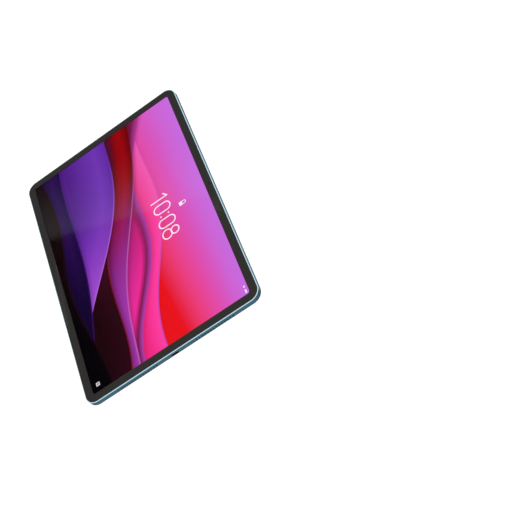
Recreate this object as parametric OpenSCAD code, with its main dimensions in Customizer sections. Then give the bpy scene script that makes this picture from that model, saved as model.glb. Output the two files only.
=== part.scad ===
// Tablet computer, drawn lying on its back with the screen up, then stood on its bottom long edge.
// While it lies, x runs to the right, y towards the top long edge, and z up from the back to the glass.

/* [Body] */
// Width, from one short side to the other
body_w = 290.91; // [270:0.01:310]
// Height, from the bottom long edge to the top long edge
body_h = 188.3; // [180:0.1:210]
// Thickness, without the camera rings
body_t = 6.69; // [6.6:0.01:8]
// Radius of the four corners
corner_r = 11; // [9:0.5:14]
// Thickness of the back wall
back_wall = 0.9; // [0.8:0.1:1.2]
// Thickness of the side walls
side_wall = 2.6; // [2.4:0.1:3]
// How far in from the outline the rounded back edge starts
back_edge_in = 2; // [1:0.1:3]
// Height of the rounded back edge
back_edge_up = 1.3; // [0.8:0.1:1.5]

/* [Screen] */
// Width of the lit picture
picture_w = 273.55; // [255:0.01:290]
// Height of the lit picture
picture_h = 170.97; // [163:0.01:190]
// Thickness of the cover glass
glass_t = 0.54; // [0.4:0.01:0.6]
// Width of the metal rim round the glass
rim_w = 0.9; // [0.7:0.1:1.2]
// Height of the polished chamfer on the rim
rim_chamfer = 0.55; // [0.3:0.05:0.8]

/* [Camera strip] */
// Length of the glass strip on the back
strip_w = 280.4; // [240:0.1:284]
// Height of the glass strip
strip_h = 35.2; // [30:0.1:38]
// Distance from the top long edge to the middle of the strip
strip_drop = 24.15; // [22:0.05:28]
// Outer radius of the three rings
ring_r = 7.4; // [6.8:0.1:8]
// How far the rings stand out of the back
ring_proud = 0.45; // [0.3:0.05:0.8]
// Distance from the middle of the tablet to the main camera
camera_x = 100.5; // [90:0.5:105]
// Spacing of the three rings
ring_pitch = 20.2; // [18:0.1:22]

/* [Keys] */
// Length of the power key
power_len = 13.6; // [10:0.1:16]
// Distance from the middle of the short side to the power key
power_y = 72.6; // [70:0.1:75]
// Length of each volume key
volume_len = 10.6; // [8:0.1:12]
// Distance from the middle of the top edge to the volume up key
volume_up_x = 125.2; // [122:0.1:127]
// Distance from the middle of the top edge to the volume down key
volume_down_x = 111.4; // [108:0.1:113]
// Width of the keys across the wall
key_w = 2.2; // [1.8:0.1:2.2]
// How far the keys stand out of the wall
key_proud = 0.3; // [0.2:0.05:0.4]
// How far the keys travel when pressed
key_travel = 0.25; // [0.15:0.05:0.3]

/* [Sound and sockets] */
// Number of holes in each of the four speaker grilles
grille_holes = 15; // [9:1:17]
// Spacing of the grille holes
grille_pitch = 3.01; // [2.6:0.01:3.1]
// Diameter of the grille holes
grille_d = 1.5; // [1:0.1:1.8]
// Distance from the middle of the short side to the middle of each grille
grille_y = 41.3; // [38:0.1:44]
// Length of the charging socket's mouth
usb_w = 8.34; // [8.3:0.01:8.4]
// Height of the charging socket's mouth
usb_h = 2.56; // [2.5:0.01:2.6]
// Height of the sockets, keys and grilles above the back
side_z = 2.9; // [2.9:0.05:3]

/* [Hidden] */
$fn = 96;

metal = [0.27, 0.41, 0.48];
black = [0.05, 0.05, 0.06];
gold = [0.8, 0.62, 0.3];
steel = [0.7, 0.72, 0.74];
board_green = [0.05, 0.22, 0.16];

half_w = body_w / 2;
half_h = body_h / 2;
gap = 0.1;                                 // clearance between parts that only lie beside each other
glass_z = body_t - glass_t;                // underside of the cover glass
rim_z = body_t - 0.14;                     // front of the metal rim, a little below the glass
tape_t = 0.2;
ledge_z = glass_z - tape_t;                // ledge that the cover glass is taped to
gasket_w = 0.25;
glass_in = rim_w + gasket_w;               // how far in from the outline the glass starts
bond_t = 0.1;                              // clear glue between the glass and the panel
lcd_t = 0.45;
films_t = 0.25;
guide_t = 0.5;
tray_t = 0.15;
lcd_z = glass_z - bond_t - lcd_t;
films_z = lcd_z - films_t;
guide_z = films_z - guide_t;
tray_z = guide_z - tray_t;
panel_w = picture_w + 3.4;
panel_h = picture_h + 2.4;
mid_t = 0.3;
mid_z = tray_z - 0.05 - mid_t;             // underside of the mid plate
inner_w = body_w - 2 * side_wall;
inner_h = body_h - 2 * side_wall;
inner_r = corner_r - side_wall;
strip_y = half_h - strip_drop;
strip_glass_t = 0.6;
strip_tape_t = 0.1;
recess_z = strip_glass_t + strip_tape_t;   // depth of the pocket that the strip lies in
strip_wall = recess_z + 0.5;               // thickness of the back behind the strip
strip_outer_r = 8.5;
strip_inner_r = 2;
flash_x = ring_pitch - camera_x;
second_x = -ring_pitch - camera_x;
sleeve_r = ring_r - 0.35;                  // part of a ring that passes through the strip
window_r = ring_r - 0.85;
lip_r = window_r - 0.65;                   // lip that the window rests on
window_t = 0.5;
window_z = 0.27;                           // inner face of the windows
module_z = mid_z - 0.05;                   // top of everything that lies under the mid plate
key_slack = 0.06;                          // clearance all round a key
flange_t = 0.4;
flange_in = side_wall + 0.1;               // how far in a key's flange starts
switch_in = flange_in + flange_t + key_travel + 0.1;
front_camera_y = half_h - 4.35;
sensor_x = 14;
battery_w = 112;
battery_h = 110;
battery_y = -31;
battery_z = back_wall + 0.15;
battery_t = 2.95;
board_w = 168;
board_h = 46;
board_x = 20;
board_y = 63;
board_z = 2.3;
board_t = 0.7;
speaker_w = 20;
speaker_h = 46.8;
speaker_x = half_w - side_wall - 0.6 - speaker_w / 2;
usb_shell_t = 0.3;
usb_depth = 7;
link_z = board_z + board_t;                // height that the flat link between the boards lies at
microphone_x = [-40, 60];
dock_w = 16;
dock_t = 2.8;

// Stands the lying tablet up on its bottom long edge, with the screen towards -y
module upright() translate([0, body_t / 2, half_h]) rotate([90, 0, 0]) children();

module rounded_rect(w, h, r) {
    square([w - 2 * r, h], center = true);
    square([w, h - 2 * r], center = true);
    for (x = [-1, 1], y = [-1, 1]) translate([x * (w / 2 - r), y * (h / 2 - r)]) circle(r);
}

module plate(w, h, r, t, z = 0) translate([0, 0, z]) linear_extrude(t) rounded_rect(w, h, r);

module plate_at(at, w, h, r, t, z) translate([at[0], at[1], 0]) plate(w, h, r, t, z);

module block(size, at) translate(at) translate([-size[0] / 2, -size[1] / 2, 0]) cube(size);

// A frame between two rounded outlines
module frame(w, h, r, width, t, z) difference() {
    plate(w, h, r, t, z);
    plate(w - 2 * width, h - 2 * width, max(r - width, 0.3), t + 2, z - 1);
}

// A slab with its edge shaped by profile, a list of [distance in from the outline, height]
module shaped_slab(w, h, r, profile) {
    low = profile[0][1];
    high = profile[len(profile) - 1][1];
    section = concat([[0, low]], [for (p = profile) [r - p[0], p[1]]], [[0, high]]);
    translate([-w / 2 + r, -h / 2 + r, low]) cube([w - 2 * r, h - 2 * r, high - low]);
    for (side = [0, 1]) rotate(180 * side) {
        translate([w / 2 - r, h / 2 - r, 0]) rotate([90, 0, 0])
            linear_extrude(h - 2 * r) polygon(section);
        translate([-w / 2 + r, h / 2 - r, 0]) rotate([90, 0, 90])
            linear_extrude(w - 2 * r) polygon(section);
        translate([w / 2 - r, h / 2 - r, 0]) rotate_extrude(angle = 90) polygon(section);
        translate([-w / 2 + r, h / 2 - r, 0]) rotate(90) rotate_extrude(angle = 90) polygon(section);
    }
}

// Puts children at the left short side, with their z pointing out of the wall and their y up the side
module left_side(y) translate([-half_w, y, side_z]) rotate([0, -90, 0]) children();
module right_side(y) translate([half_w, y, side_z]) rotate([0, 90, 0]) children();
module top_side(x) translate([x, half_h, side_z]) rotate([0, 0, 90]) rotate([0, 90, 0]) children();
module bottom_side(x) translate([x, -half_h, side_z]) rotate([0, 0, -90]) rotate([0, 90, 0]) children();

// A long round-ended shape across a wall: w through the tablet's thickness, len along the wall
module slot_shape(len, w, depth, out) translate([0, 0, -depth]) linear_extrude(depth + out) {
    square([w, len - w], center = true);
    for (y = [-1, 1]) translate([0, y * (len / 2 - w / 2)]) circle(w / 2);
}

module grille_drill() for (i = [0:grille_holes - 1])
    translate([0, (i - (grille_holes - 1) / 2) * grille_pitch, -side_wall - 1])
        cylinder(h = side_wall + 2, d = grille_d);

// ---- Casing ----

outer_profile = concat(
    [for (a = [0:15:90]) [back_edge_in * (1 - sin(a)), back_edge_up * (1 - cos(a))]],
    [[0, rim_z - rim_chamfer], [rim_w - 0.1, rim_z], [rim_w, rim_z]]
);

module strip_outline(grow) {
    w = strip_w + 2 * grow;
    h = strip_h + 2 * grow;
    translate([0, strip_y]) {
        square([w - 2 * strip_outer_r, h], center = true);
        translate([-w / 2, -h / 2 + strip_inner_r]) square([w, h - strip_inner_r - strip_outer_r]);
        for (x = [-1, 1]) {
            translate([x * (w / 2 - strip_outer_r), h / 2 - strip_outer_r]) circle(strip_outer_r);
            translate([x * (w / 2 - strip_inner_r), -h / 2 + strip_inner_r]) circle(strip_inner_r);
            translate([x * (w / 2 - strip_inner_r - 5), -h / 2 + strip_inner_r])
                square([10, 2 * strip_inner_r], center = true);
        }
    }
}

module ring_places() for (x = [flash_x, -camera_x, second_x]) translate([x, strip_y, 0]) children();

// Places of the screws that hold the mid plate, and of those that hold the main board
plate_screws = [
    [-90, 89], [-68, 84], [26, 89], [108, 84], [-62, 35], [20, 35], [100, 35], [-118, -88], [118, -88]
];
board_screws = [[-58, 46], [-58, 80], [97, 46], [97, 80]];
post_r = 2;
screw_r = 0.5;
thread_r = 0.55;                           // bore of the posts that the screws turn into

module posts(places, top) for (p = places) difference() {
    translate([p[0], p[1], back_wall - 0.1]) cylinder(h = top - back_wall + 0.1, r = post_r);
    translate([p[0], p[1], back_wall + 0.6]) cylinder(h = top, r = thread_r);
}

module shell() {
    difference() {
        shaped_slab(body_w, body_h, corner_r, outer_profile);
        plate(inner_w, inner_h, inner_r, body_t, back_wall);
        plate(body_w - 2 * rim_w, body_h - 2 * rim_w, corner_r - rim_w, body_t, ledge_z);
    }
    translate([-strip_w / 2 - 2, strip_y - strip_h / 2 - 1, back_wall - 0.1])
        cube([strip_w + 4, strip_h + 4, strip_wall - back_wall + 0.1]);
    posts(plate_screws, mid_z);
    posts(board_screws, board_z);
}

module rear_housing() color(metal) upright() {
    difference() {
        shell();
        ring_places() translate([0, 0, -1]) cylinder(h = 4, r = lip_r);
        translate([0, 0, -1]) linear_extrude(recess_z + 1) strip_outline(0.1);
        left_side(power_y) slot_shape(power_len + 2 * key_slack, key_w + 2 * key_slack, side_wall + 1, 1);
        for (x = [-volume_up_x, -volume_down_x])
            top_side(x) slot_shape(volume_len + 2 * key_slack, key_w + 2 * key_slack, side_wall + 1, 1);
        for (y = [-grille_y, grille_y]) {
            left_side(y) grille_drill();
            right_side(y) grille_drill();
        }
        right_side(0) slot_shape(usb_w + 2 * usb_shell_t, usb_h + 2 * usb_shell_t, side_wall + 1, 1);
        bottom_side(0) slot_shape(dock_w, dock_t, side_wall + 1, 1);
        for (x = microphone_x) top_side(x) translate([0, 0, -side_wall - 1])
            cylinder(h = side_wall + 2, d = 0.8);
    }
}

module cover_glass() color([0.08, 0.08, 0.09, 0.6]) upright()
    shaped_slab(body_w - 2 * glass_in, body_h - 2 * glass_in, corner_r - glass_in,
        [[0, glass_z], [0, body_t - 0.2], [0.06, body_t - 0.06], [0.2, body_t]]);

module glass_gasket() color(black) upright()
    frame(body_w - 2 * rim_w, body_h - 2 * rim_w, corner_r - rim_w, gasket_w, rim_z - glass_z - 0.05, glass_z);

module display_tape() color(black) upright()
    frame(body_w - 2 * rim_w - 0.4, body_h - 2 * rim_w - 0.4, corner_r - rim_w - 0.2, 1.4, tape_t, ledge_z);

// ---- Display ----

module lcd_panel() color([0.15, 0.12, 0.2]) upright() {
    plate(panel_w, panel_h, 2.5, lcd_t, lcd_z);
    plate(picture_w, picture_h, 2.5, bond_t, lcd_z + lcd_t);
}

module diffuser_films() color([0.95, 0.95, 0.95]) upright()
    plate(panel_w - 2, panel_h - 1.6, 1, films_t, films_z);

module light_guide() color([0.9, 0.95, 1, 0.7]) upright()
    plate(panel_w - 2, panel_h - 1.6, 1, guide_t, guide_z);

module backlight_tray() color(steel) upright() {
    plate(panel_w, panel_h, 1.4, tray_t, tray_z);
    frame(panel_w, panel_h, 1.4, 0.3, lcd_z - tray_z - 0.05, tray_z);
    block([panel_w - 20, 0.4, 0.35], [0, -panel_h / 2 + 0.55, tray_z + tray_t]);
}

flex_x = -30;
flex_t = 0.12;
module display_flex() color([0.7, 0.4, 0.15]) upright() {
    block([60, 1.9, flex_t], [flex_x, -panel_h / 2 - 0.95, lcd_z + 0.1]);
    block([60, flex_t, lcd_z + 0.1 - mid_z + 0.5], [flex_x, -panel_h / 2 - 1.84, mid_z - 0.5]);
    block([60, 1.6, flex_t], [flex_x, -panel_h / 2 - 1.1, mid_z - 0.5]);
}

module mid_plate() color([0.55, 0.56, 0.58]) upright() difference() {
    plate(inner_w - 0.4, inner_h - 0.4, inner_r - 0.2, mid_t, mid_z);
    translate([0, front_camera_y, mid_z - 1]) cylinder(h = 2, r = 1.7);
    block([4.4, 2.6, 2], [sensor_x, front_camera_y - 0.1, mid_z - 1]);
    block([62, 4.2, 2], [flex_x, -panel_h / 2 - 1.3, mid_z - 1]);
    block([12, 11, 2], [half_w - side_wall - 3, 0, mid_z - 1]);
    for (p = plate_screws) translate([p[0], p[1], mid_z]) {
        translate([0, 0, -1]) cylinder(h = 2, r = screw_r + 0.1);
        translate([0, 0, 0.1]) cylinder(h = 1, r = 1);
    }
}

// ---- Camera strip ----

module camera_strip() color([0.3, 0.45, 0.52]) upright() difference() {
    linear_extrude(strip_glass_t) strip_outline(0);
    ring_places() translate([0, 0, -1]) cylinder(h = 3, r = sleeve_r + 0.05);
}

module strip_tape() color(black) upright() difference() {
    translate([0, 0, strip_glass_t]) linear_extrude(strip_tape_t) strip_outline(-1);
    ring_places() translate([0, 0, -1]) cylinder(h = 3, r = sleeve_r + 0.5);
}

// The ring's section is turned about the camera's axis: the proud rim, the sleeve and the window's lip
module trim_ring(x) upright() translate([x, strip_y, 0]) rotate_extrude() polygon([
    [sleeve_r, 0], [ring_r, 0], [ring_r, -ring_proud + 0.15], [ring_r - 0.12, -ring_proud],
    [window_r + 0.25, -ring_proud], [window_r + 0.05, -ring_proud + 0.2], [window_r + 0.05, window_z],
    [lip_r, window_z], [lip_r, 0.58], [sleeve_r, 0.58]
]);
module window_disc(x) upright() translate([x, strip_y, window_z - window_t])
    cylinder(h = window_t, r = window_r);

module flash_ring() color(steel) trim_ring(flash_x);
module main_camera_ring() color(steel) trim_ring(-camera_x);
module second_camera_ring() color(steel) trim_ring(second_x);
module main_camera_window() color([0.1, 0.2, 0.25, 0.6]) window_disc(-camera_x);
module second_camera_window() color([0.1, 0.2, 0.25, 0.6]) window_disc(second_x);

diffuser_w = 4.6;
diffuser_h = 3.6;
module flash_window() color([0.1, 0.2, 0.25]) difference() {
    window_disc(flash_x);
    upright() translate([flash_x, strip_y, 0]) plate(diffuser_w + 0.1, diffuser_h + 0.1, 1.1, 4, -2);
}
module flash_diffuser() color("white") upright() translate([flash_x, strip_y, 0]) {
    plate(diffuser_w, diffuser_h, 1, window_t, window_z - window_t);
    plate(lip_r * 1.5, lip_r * 1.3, 1, 0.5, window_z);
}
module flash_led() color([0.95, 0.85, 0.3]) upright() {
    block([2.4, 2.4, 0.5], [flash_x, strip_y, 0.9]);
    block([9, 9, 0.5], [flash_x, strip_y, 1.4]);
}

// ---- Cameras ----

barrel_r = 3.3;
module main_camera_module() color(black) upright() translate([-camera_x, strip_y, 0]) difference() {
    block([11, 11, module_z - strip_wall - 0.1], [0, 0, strip_wall + 0.1]);
    cylinder(h = 2.9, r = barrel_r + gap);
}
module main_lens_barrel() color([0.12, 0.1, 0.1]) upright() translate([-camera_x, strip_y, 0]) difference() {
    union() {
        translate([0, 0, 0.72]) cylinder(h = 1.9, r = barrel_r);
        translate([0, 0, 0.6]) cylinder(h = 0.2, r = 2.4);
    }
    cylinder(h = 0.9, r = 1.9);
}
module second_camera_module() color(black) upright() translate([second_x, strip_y, 0]) difference() {
    union() {
        block([8.5, 8.5, module_z - strip_wall - 0.1], [0, 0, strip_wall + 0.1]);
        translate([0, 0, 0.5]) cylinder(h = 2, r = 2.65);
    }
    translate([0, 0, 0.4]) cylinder(h = 0.4, r = 1.5);
}
module front_camera_module() color(black) upright() translate([0, front_camera_y, 0]) difference() {
    union() {
        block([6, 3.2, 1.8], [0, -0.1, mid_z - 2]);
        translate([0, 0, mid_z - 0.3]) cylinder(h = glass_z - 0.05 - mid_z + 0.3, r = 1.4);
    }
    translate([0, 0, glass_z - 0.4]) cylinder(h = 1, r = 0.8);
}
module light_sensor() color([0.15, 0.15, 0.2]) upright()
    block([3, 1.8, glass_z - 0.3 - mid_z], [sensor_x, front_camera_y - 0.1, mid_z]);

// ---- Keys and their switches ----

// Drawn with z out of the wall: the key, and inside the wall the flange that keeps it in
module key(len) {
    slot_shape(len, key_w, flange_in, key_proud - 0.12);
    translate([0, 0, key_proud - 0.12]) slot_shape(len - 0.24, key_w - 0.24, 0, 0.12);
    translate([-(key_w + 0.6) / 2, -(len + 1.6) / 2, -flange_in - flange_t])
        cube([key_w + 0.6, len + 1.6, flange_t]);
}
module dome_switch() {
    translate([-1.2, -2, -switch_in - 0.9]) cube([2.4, 4, 0.9]);
}
module switch_strip(len) translate([-1.3, -len / 2, -switch_in - 1.15]) cube([2.6, len, 0.25]);

module power_button() color(metal) upright() left_side(power_y) key(power_len);
module power_switch() color(gold) upright() left_side(power_y) {
    dome_switch();
    switch_strip(12);
}
module volume_up_button() color(metal) upright() top_side(-volume_up_x) key(volume_len);
module volume_down_button() color(metal) upright() top_side(-volume_down_x) key(volume_len);
module volume_switches() color(gold) upright() {
    for (x = [-volume_up_x, -volume_down_x]) top_side(x) dome_switch();
    top_side(-(volume_up_x + volume_down_x) / 2) switch_strip(volume_up_x - volume_down_x + 8);
}

// ---- Sound ----

// A speaker box with its cone, against the inside of a short side's wall
module speaker(sx, sy) upright() translate([sx * speaker_x, sy * grille_y, 0]) {
    difference() {
        block([speaker_w, speaker_h, module_z - strip_wall - 0.1], [0, 0, strip_wall + 0.1]);
        plate(speaker_w - 7, speaker_h - 10, 5, 3, module_z - 0.8);
        block([6, speaker_h - 4, 1.7], [sx * (speaker_w / 2 - 2), 0, side_z - 0.85]);
    }
    plate(speaker_w - 8, speaker_h - 11, 4.5, 0.5, module_z - 0.85);
}
module speaker_upper_left() color(black) speaker(-1, 1);
module speaker_lower_left() color(black) speaker(-1, -1);
module speaker_upper_right() color(black) speaker(1, 1);
module speaker_lower_right() color(black) speaker(1, -1);

// Dust mesh glued over the holes inside the wall
mesh_len = grille_holes * grille_pitch + 2;
module dust_mesh(sx, sy) upright() translate([sx * (half_w - side_wall - 0.3), sy * grille_y, side_z])
    rotate([0, 90, 0]) block([2.8, mesh_len, 0.2], [0, 0, -0.1]);
module mesh_upper_left() color(black) dust_mesh(-1, 1);
module mesh_lower_left() color(black) dust_mesh(-1, -1);
module mesh_upper_right() color(black) dust_mesh(1, 1);
module mesh_lower_right() color(black) dust_mesh(1, -1);

// ---- Charging socket ----

module usb_socket_shell() color(steel) upright() right_side(0) difference() {
    slot_shape(usb_w + 2 * usb_shell_t - 0.04, usb_h + 2 * usb_shell_t - 0.04, usb_depth + 0.3, -0.05);
    slot_shape(usb_w, usb_h, usb_depth, 1);
}
module usb_tongue() color(black) upright() right_side(0)
    translate([-0.35, -3.35, -usb_depth]) cube([0.7, 6.7, usb_depth - 1.4]);
usb_board_x = half_w - usb_depth - 0.5 - 7;
usb_board_z = 2;
module usb_board() color(board_green) upright() {
    block([14, 26, 0.6], [usb_board_x, 0, usb_board_z]);
    block([4, 10, link_z - usb_board_z - 0.6], [usb_board_x - 3, 7, usb_board_z + 0.6]);
}

// ---- Main board ----

module main_board() color(board_green) upright() {
    difference() {
        plate_at([board_x, board_y], board_w, board_h, 1.5, board_t, board_z);
        for (p = board_screws) translate([p[0], p[1], 0]) cylinder(h = 8, r = screw_r + 0.1);
    }
    for (x = [-44, -36, 70, 80]) block([5, 3, 0.5], [x, board_y - 14, board_z + board_t]);
    for (x = [-44:4:-32]) block([2, 1.2, 0.6], [x, board_y + 14, board_z + board_t]);
    for (x = [58:3:82]) block([1.6, 0.8, 0.5], [x, board_y + 8, board_z + board_t]);
}
module processor() color([0.1, 0.1, 0.12]) upright()
    block([14, 14, 0.7], [10, board_y + 2, board_z + board_t]);
module memory_chips() color([0.12, 0.12, 0.14]) upright() {
    block([11, 14, 0.7], [26, board_y + 2, board_z + board_t]);
    block([13, 11, 0.6], [-20, board_y + 2, board_z + board_t]);
}
can_t = 0.2;
module shield_can() color(steel) upright() difference() {
    block([76, 30, 1.1], [8, board_y + 1, board_z + board_t]);
    block([76 - 2 * can_t, 30 - 2 * can_t, 1.1], [8, board_y + 1, board_z + board_t - can_t]);
}
module heat_spreader() color([0.25, 0.25, 0.26]) upright()
    block([128, 40, 0.1], [16, board_y, mid_z - 0.1]);

// ---- Battery ----

module cell(x) upright() plate_at([x, battery_y], battery_w, battery_h, 1.5, battery_t, battery_z);
module battery_left() color([0.2, 0.2, 0.22]) cell(-battery_w / 2 - 0.5);
module battery_right() color([0.2, 0.2, 0.22]) cell(battery_w / 2 + 0.5);
battery_top = battery_y + battery_h / 2;
module battery_board() color(board_green) upright() {
    block([120, 5, 0.6], [0, battery_top + 3.2, battery_z + 0.7]);
    block([12, 4, 0.7], [30, battery_top + 3.2, battery_z + 1.3]);
    for (x = [-battery_w / 2, battery_w / 2]) block([6, 1, 0.2], [x, battery_top + 0.5, battery_z + 1]);
}
module battery_tape() color([0.85, 0.85, 0.9]) upright() for (x = [-84, -30, 30, 84])
    block([16, battery_h - 8, battery_z - back_wall], [x, battery_y, back_wall]);

// ---- Dock contacts, magnets, antennas, microphones and links ----

module dock_carrier() color(black) upright() bottom_side(0) difference() {
    slot_shape(dock_w - 0.1, dock_t - 0.1, side_wall + 0.6, 0);
    for (y = [-4, 0, 4]) translate([0, y, -9]) cylinder(h = 10, r = 0.9);
}
module dock_contacts() color(gold) upright() bottom_side(0) for (y = [-4, 0, 4]) translate([0, y, -3.6]) {
    cylinder(h = 3.55, r = 0.85);
}
module dock_magnets() color([0.5, 0.5, 0.52]) upright() for (x = [-46, 46])
    block([30, 2, 2.6], [x, -half_h + side_wall + 1.2, side_z - 1.3]);
module antenna(x) {
    block([30, 0.25, 2.4], [x, -half_h + side_wall + 0.3, side_z - 1.2]);
}
module antenna_left() color(gold) upright() antenna(-88);
module antenna_right() color(gold) upright() antenna(88);
module microphones() color(steel) upright() for (x = microphone_x)
    block([3.6, 1, 2.4], [x, half_h - side_wall - 0.6, side_z - 1.2]);
link_x = board_x + board_w / 2 + 12;
module board_link_flex() color([0.7, 0.4, 0.15]) upright() {
    block([6, 62, flex_t], [link_x, 36, link_z]);
    block([22, 6, flex_t], [link_x - 8, 64, link_z]);
    block([18, 6, flex_t], [link_x + 6, 8, link_z]);
}
module screw(p, low, top, head_r, head_t) translate([p[0], p[1], 0]) {
    translate([0, 0, low]) cylinder(h = top - low, r = screw_r);
    translate([0, 0, top]) cylinder(h = head_t, r = head_r);
}
module screws() color(steel) upright() {
    for (p = plate_screws) screw(p, 2.1, mid_z + 0.1, 0.9, mid_t - 0.1);
    for (p = board_screws) screw(p, 1.7, board_z + board_t, 1.1, 0.4);
}

rear_housing();
cover_glass();
glass_gasket();
display_tape();
lcd_panel();
diffuser_films();
light_guide();
backlight_tray();
display_flex();
mid_plate();
camera_strip();
strip_tape();
flash_ring();
main_camera_ring();
second_camera_ring();
flash_window();
main_camera_window();
second_camera_window();
flash_diffuser();
flash_led();
main_camera_module();
main_lens_barrel();
second_camera_module();
front_camera_module();
light_sensor();
power_button();
power_switch();
volume_up_button();
volume_down_button();
volume_switches();
speaker_upper_left();
speaker_lower_left();
speaker_upper_right();
speaker_lower_right();
mesh_upper_left();
mesh_lower_left();
mesh_upper_right();
mesh_lower_right();
usb_socket_shell();
usb_tongue();
usb_board();
main_board();
processor();
memory_chips();
shield_can();
heat_spreader();
battery_left();
battery_right();
battery_board();
battery_tape();
dock_carrier();
dock_contacts();
dock_magnets();
antenna_left();
antenna_right();
microphones();
board_link_flex();
screws();
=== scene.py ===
import bmesh
import bpy
from math import cos, pi, radians, sin
from mathutils import Matrix, Quaternion, Vector


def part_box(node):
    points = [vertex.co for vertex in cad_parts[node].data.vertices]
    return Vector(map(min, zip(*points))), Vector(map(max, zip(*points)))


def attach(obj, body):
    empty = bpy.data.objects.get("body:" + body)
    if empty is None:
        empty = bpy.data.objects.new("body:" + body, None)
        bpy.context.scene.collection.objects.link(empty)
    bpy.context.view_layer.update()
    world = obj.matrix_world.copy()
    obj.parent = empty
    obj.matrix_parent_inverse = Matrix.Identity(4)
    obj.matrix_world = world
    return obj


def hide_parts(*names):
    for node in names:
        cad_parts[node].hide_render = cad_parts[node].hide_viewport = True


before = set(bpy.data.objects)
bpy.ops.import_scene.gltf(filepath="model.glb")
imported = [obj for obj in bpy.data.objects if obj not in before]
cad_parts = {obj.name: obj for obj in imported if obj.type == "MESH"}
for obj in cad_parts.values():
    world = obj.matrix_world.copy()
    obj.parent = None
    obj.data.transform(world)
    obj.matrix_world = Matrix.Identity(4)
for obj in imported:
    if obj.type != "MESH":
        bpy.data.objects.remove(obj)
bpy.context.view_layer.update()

# The tablet is modelled in millimetres, lying on its back with the glass up:
# x to the right, y towards the top long edge, z from the back to the glass. standUp() puts a piece in place.
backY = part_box("rear_housing")[1].y * 1000
midZ = (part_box("rear_housing")[0].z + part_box("rear_housing")[1].z) * 500


def onBench(node):
    low, high = (corner * 1000 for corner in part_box(node))
    return Vector((low.x, low.z - midZ, backY - high.y)), Vector((high.x, high.z - midZ, backY - low.y))


def middleOf(node):
    low, high = onBench(node)
    return (low + high) / 2


# camera, floor and light

cameraView = {
    "place": (0.76698, -0.77195, 0.40569),
    "aim": (0.10902, -0.00366, 0.19839),
    "turn": 56.48,  # degrees about the line of sight
    "lens": 82.64,
    "sensor": 36.0,
}
stageLook = {
    "floorDrop": 0.11,  # the tablet hangs this far above the floor, metres
    "floorSize": 9.0,
    "floorShade": 0.86,
    "floorGlow": 0.2,
    "roomShade": 1.0,
    "sheenTop": 0.0145,  # where the edge of the front reflection crosses the top and bottom of the glass
    "sheenBottom": -0.0655,
    "sheen": 2.8,
    "sheenFade": 0.055,
    "frontShade": 0.9,
    "frontFrom": (0.75, 0.92),
    "rearShade": 0.8,  # how much darker the room is behind the tablet
    "rearFrom": (0.05, 0.5),
    "cardFacing": (0.69, -0.72, 0.0),  # a tall bright card stands behind, square to this direction
    "cardHalf": (0.13, 0.03),
    "card": 1.25,
    "cardStep": 0.2,  # the card's far part is this much dimmer, past a straight edge
    "stepFacing": (0.62, -0.62, 0.48),
    "stepAt": -0.085,
}


def makeCamera():
    made = bpy.data.objects.new("camera", bpy.data.cameras.new("camera"))
    bpy.context.scene.collection.objects.link(made)
    made.data.sensor_width = cameraView["sensor"]
    made.data.lens = cameraView["lens"]
    made.data.clip_start, made.data.clip_end = 0.05, 40
    sight = Vector(cameraView["aim"]) - Vector(cameraView["place"])
    made.location = cameraView["place"]
    made.rotation_mode = "QUATERNION"
    made.rotation_quaternion = sight.to_track_quat("-Z", "Y") @ Quaternion((0, 0, 1), radians(cameraView["turn"]))
    bpy.context.scene.camera = made


makeCamera()
bpy.context.scene.view_settings.view_transform = "Standard"
print("camera ready")


# shader helpers

class Wire:
    def __init__(self, tree, socket=None):
        self.tree, self.socket = tree, socket

    def node(self, kind, settings=None, ends=None, out=0):
        made = self.tree.nodes.new(kind)
        for name, value in (settings or {}).items():
            if name == "stops":
                fillRamp(made.color_ramp, value)
            else:
                setattr(made, name, value)
        for name, value in (ends or {}).items():
            if isinstance(value, Wire):
                self.tree.links.new(value.socket, made.inputs[name])
            else:
                made.inputs[name].default_value = value
        if isinstance(out, tuple):
            return [Wire(self.tree, made.outputs[name]) for name in out]
        return Wire(self.tree, made.outputs[out])

    def maths(self, operation, other=0.0, flipped=False):
        ends = {0: other, 1: self} if flipped else {0: self, 1: other}
        return self.node("ShaderNodeMath", {"operation": operation}, ends)

    def __add__(self, other):
        return self.maths("ADD", other)

    def __sub__(self, other):
        return self.maths("SUBTRACT", other)

    def __rsub__(self, other):
        return self.maths("SUBTRACT", other, True)

    def __mul__(self, other):
        return self.maths("MULTIPLY", other)

    def __truediv__(self, other):
        return self.maths("DIVIDE", other)

    def __pow__(self, other):
        return self.maths("POWER", other)

    def __abs__(self):
        return self.maths("ABSOLUTE")

    __radd__ = __add__
    __rmul__ = __mul__


def fillRamp(ramp, stops):
    while len(ramp.elements) > 1:
        ramp.elements.remove(ramp.elements[-1])
    ramp.elements[0].position, ramp.elements[0].color = stops[0][0], tint(stops[0][1])
    for spot, colour in stops[1:]:
        ramp.elements.new(spot).color = tint(colour)


def tint(colour):
    shades = [int(colour[i:i + 2], 16) / 255 for i in (1, 3, 5)]
    return tuple(s / 12.92 if s <= 0.04045 else ((s + 0.055) / 1.055) ** 2.4 for s in shades) + (1.0,)


def soft(value, low, high):  # 0 below low, 1 above high, smooth between
    return value.node("ShaderNodeMapRange", {"interpolation_type": "SMOOTHSTEP"},
                      {"Value": value, "From Min": low, "From Max": high})


def mixed(mask, below, above):
    below = tint(below) if isinstance(below, str) else below
    above = tint(above) if isinstance(above, str) else above
    return mask.node("ShaderNodeMix", {"data_type": "RGBA"}, {0: mask, 6: below, 7: above}, 2)


def smaller(a, b):
    return a.maths("MINIMUM", b)


def larger(a, b):
    return a.maths("MAXIMUM", b)


def noise(place, scale, detail=3.0, roughness=0.55):
    return place.node("ShaderNodeTexNoise", {},
                      {"Vector": place, "Scale": scale, "Detail": detail, "Roughness": roughness})


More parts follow.
